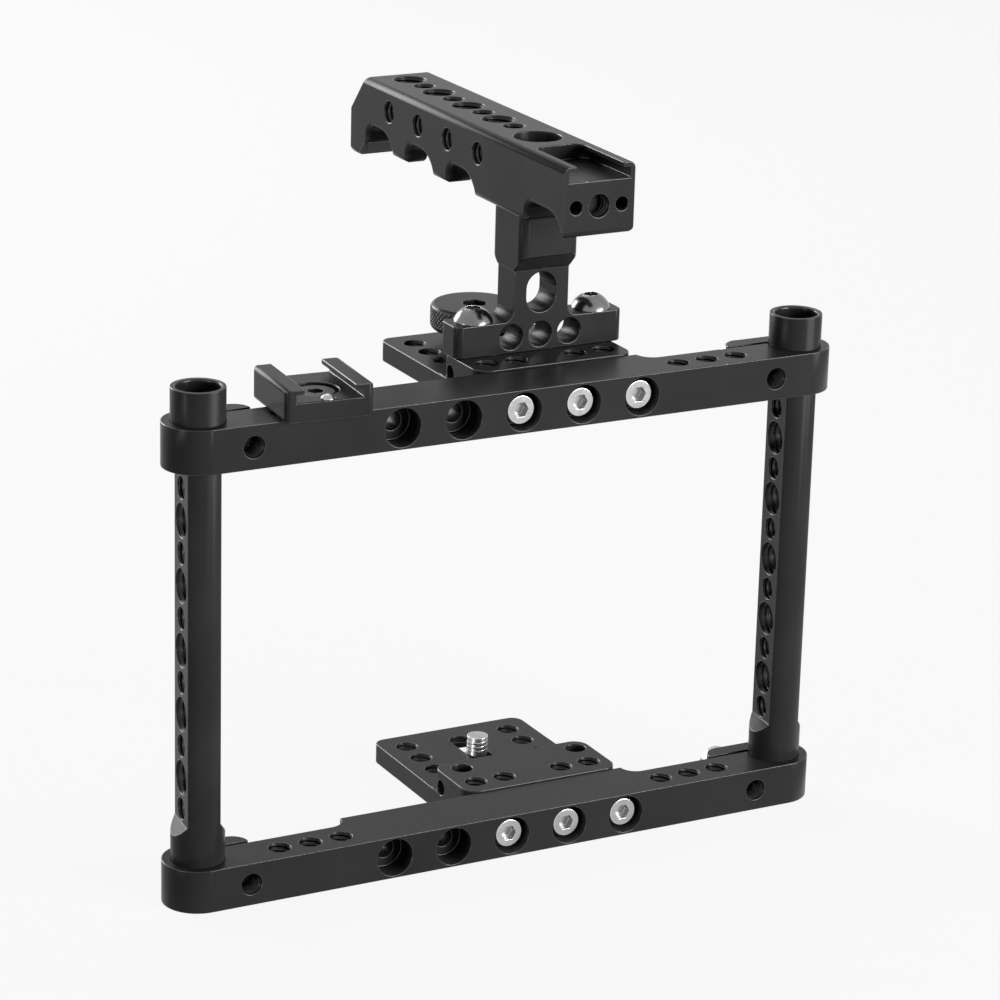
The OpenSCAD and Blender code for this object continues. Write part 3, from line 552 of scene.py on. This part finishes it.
def camera():
    """Camera at the photograph's view, turned from its angles about the target."""
    a, e, r = np.radians([CAM_AZIMUTH, CAM_ELEVATION, CAM_ROLL])
    back = np.array([np.sin(a) * np.cos(e), -np.cos(a) * np.cos(e), np.sin(e)])
    right = np.array([np.cos(a), np.sin(a), 0.0])
    up = np.cross(right, -back)
    right, up = right * np.cos(r) + up * np.sin(r), up * np.cos(r) - right * np.sin(r)
    data = bpy.data.cameras.new("camera")
    data.lens, data.sensor_width, data.sensor_fit = CAM_LENS, CAM_SENSOR, "HORIZONTAL"
    data.clip_start, data.clip_end = 0.05, 20
    eye = bpy.data.objects.new("camera", data)
    spot = (np.array(CAM_TARGET) + back * CAM_DISTANCE) * MM
    eye.matrix_world = Matrix([[*row, p] for row, p in zip(np.stack([right, up, back], 1), spot)]
                              + [[0, 0, 0, 1]])
    bpy.context.scene.collection.objects.link(eye)
    bpy.context.scene.camera = eye


def lamp(name, spot, aim, size, power):
    """Square soft box at a spot in metres, turned towards its aim."""
    data = bpy.data.lights.new(name, "AREA")
    data.shape, data.size, data.energy = "SQUARE", size, power
    light = bpy.data.objects.new(name, data)
    turn = (Vector(spot) - Vector(aim)).to_track_quat("Z", "Y")
    light.matrix_world = Matrix.Translation(spot) @ turn.to_matrix().to_4x4()
    bpy.context.scene.collection.objects.link(light)


def white_to_viewer(tree):
    """Node that gives 1 to the camera, to reflections and through glass, and 0 to other rays."""
    path = tree.nodes.new("ShaderNodeLightPath")
    seen = path.outputs["Is Camera Ray"]
    for name in ("Is Glossy Ray", "Is Transmission Ray"):
        either = tree.nodes.new("ShaderNodeMath")
        either.operation = "MAXIMUM"
        tree.links.new(seen, either.inputs[0])
        tree.links.new(path.outputs[name], either.inputs[1])
        seen = either.outputs[0]
    return seen


def white_backdrop():
    """World that is white to the camera and in reflections, and soft grey as a light."""
    world = bpy.data.worlds.new("studio")
    bpy.context.scene.world = world
    world.use_nodes = True
    tree = world.node_tree
    tree.nodes.clear()
    level = tree.nodes.new("ShaderNodeMapRange")
    level.inputs["To Min"].default_value = WORLD_LEVEL
    level.inputs["To Max"].default_value = 1.0
    tree.links.new(white_to_viewer(tree), level.inputs["Value"])
    glow = tree.nodes.new("ShaderNodeBackground")
    glow.inputs["Color"].default_value = (1, 1, 1, 1)
    tree.links.new(level.outputs[0], glow.inputs["Strength"])
    end = tree.nodes.new("ShaderNodeOutputWorld")
    tree.links.new(glow.outputs[0], end.inputs["Surface"])


def floor():
    """Pale floor under the cage: mostly its own white, with enough paint to hold a shadow."""
    mesh = bpy.data.meshes.new("floor")
    corners = [(x * FLOOR_HALF, y * FLOOR_HALF, 0) for x, y in ((-1, -1), (1, -1), (1, 1), (-1, 1))]
    mesh.from_pydata(corners, [], [(0, 1, 2, 3)])
    net = Net("pale_floor")
    paint = net.node("ShaderNodeBsdfDiffuse", {}, {
        "Color": net.mix(net.noise(3, 2), (0.78, 0.78, 0.78), (0.82, 0.82, 0.82))})
    white = net.node("ShaderNodeEmission", {}, {"Strength": Value(net, white_to_viewer(net.tree))})
    net.output(net.node("ShaderNodeMixShader", {}, {0: FLOOR_GLOW, 1: paint, 2: white}))
    mesh.materials.append(net.material)
    ground = bpy.data.objects.new("floor", mesh)
    bpy.context.scene.collection.objects.link(ground)


camera()
white_backdrop()
for lamp_name, lamp_values in LAMPS.items():
    lamp(lamp_name, *lamp_values)
floor()
bpy.context.scene.view_settings.view_transform = "Standard"
